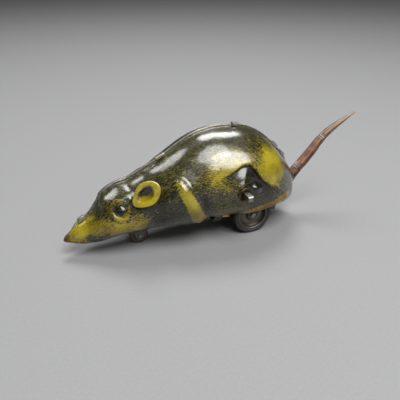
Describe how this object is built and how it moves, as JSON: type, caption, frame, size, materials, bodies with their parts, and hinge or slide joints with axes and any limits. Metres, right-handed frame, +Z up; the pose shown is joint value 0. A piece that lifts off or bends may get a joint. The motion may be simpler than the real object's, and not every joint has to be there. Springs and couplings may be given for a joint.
{
  "type": "clockwork mouse",
  "caption": "Wind-up toy mouse: two-part pressed tin body over a spring movement with rear drive wheels, a front roller, tin ears and a coil-spring tail.",
  "frame": {"origin": "middle of the foot of the whole box, on the ground", "axes": "+X from the nose to the tail tip, +Z up, -Y out of the left flank, where the winding stem is"},
  "size_m": [0.1544, 0.0516, 0.0544],
  "materials": {
    "litho_body": "glossy lithographed tinplate, green-black over yellow-olive",
    "litho_ear": "glossy yellow lithographed tinplate",
    "tail_coil": "copper-washed spring wire, browned",
    "tail_peg": "turned wood peg",
    "brass": "satin, tarnished",
    "steel": "bright turned steel",
    "blued_steel": "blued spring steel",
    "tinplate": "plain dull tinplate",
    "tyre": "matt black rubber",
    "roller": "turned wood, worn pinkish brown"
  },
  "bodies": {
    "body": {"left_body_shell": "litho_body", "right_body_shell": "litho_body", "left_ear": "litho_ear", "right_ear": "litho_ear", "tail_spring_root": "tail_coil", "tail_peg": "tail_peg", "left_side_plate": "brass", "right_side_plate": "brass", "pillar_front_top": "steel", "pillar_rear_top": "steel", "pillar_front_low": "steel", "pillar_rear_low": "steel", "click_spring": "blued_steel", "click_rivet": "brass", "stem_eyelet": "brass", "front_strap": "tinplate", "rear_strap": "tinplate", "roller_fork": "tinplate", "fork_rivet": "brass", "roller_axle": "steel"},
    "winding": {"winding_arbor": "steel", "ratchet_wheel": "steel"},
    "barrel": {"spring_barrel": "brass", "barrel_cover": "brass", "mainspring": "blued_steel"},
    "intermediate": {"intermediate_arbor": "steel", "intermediate_wheel": "brass"},
    "drive": {"drive_axle": "steel", "drive_pinion": "steel", "left_drive_wheel": "tinplate", "left_tyre": "tyre", "right_drive_wheel": "tinplate", "right_tyre": "tyre"},
    "click": {"click": "steel"},
    "roller": {"front_roller": "roller"},
    "tail_middle": {"tail_spring_middle": "tail_coil"},
    "tail_tip": {"tail_spring_tip": "tail_coil"}
  },
  "joints": [
    {"name": "drive_axle_spin", "type": "hinge", "parent": "body", "child": "drive", "pos_m": [0.01281, 0.00167, 0.01], "axis": [0, 1, 0], "continuous": true},
    {"name": "intermediate_spin", "type": "hinge", "parent": "body", "child": "intermediate", "pos_m": [0.01552, 0.00167, 0.02019], "axis": [0, 1, 0], "continuous": true},
    {"name": "barrel_spin", "type": "hinge", "parent": "body", "child": "barrel", "pos_m": [0.0038, 0.00167, 0.027], "axis": [0, 1, 0], "continuous": true},
    {"name": "arbor_winding", "type": "hinge", "parent": "body", "child": "winding", "pos_m": [0.0038, 0.00167, 0.027], "axis": [0, -1, 0], "range_deg": [0, 2160]},
    {"name": "click_swing", "type": "hinge", "parent": "body", "child": "click", "pos_m": [-0.00257, 0.00167, 0.03362], "axis": [0, -1, 0], "range_deg": [0, 8], "stiffness_Nm_per_rad": 0.0001, "springref_deg": -11.46},
    {"name": "roller_spin", "type": "hinge", "parent": "body", "child": "roller", "pos_m": [-0.0422, 0.00167, 0.0045], "axis": [0, 1, 0], "continuous": true},
    {"name": "tail_sway", "type": "hinge", "parent": "body", "child": "tail_middle", "pos_m": [0.04582, 0.00167, 0.02533], "axis": [-0.7125, 0, 0.7017], "range_deg": [-20, 20], "stiffness_Nm_per_rad": 0.02},
    {"name": "tail_whip", "type": "hinge", "parent": "tail_middle", "child": "tail_tip", "pos_m": [0.05896, 0.00167, 0.03997], "axis": [0, 1, 0], "range_deg": [-20, 20], "stiffness_Nm_per_rad": 0.02}
  ],
  "couplings": [
    {"joint": "intermediate_spin", "follows": "drive_axle_spin", "ratio": -0.3125},
    {"joint": "barrel_spin", "follows": "drive_axle_spin", "ratio": 0.071023}
  ]
}
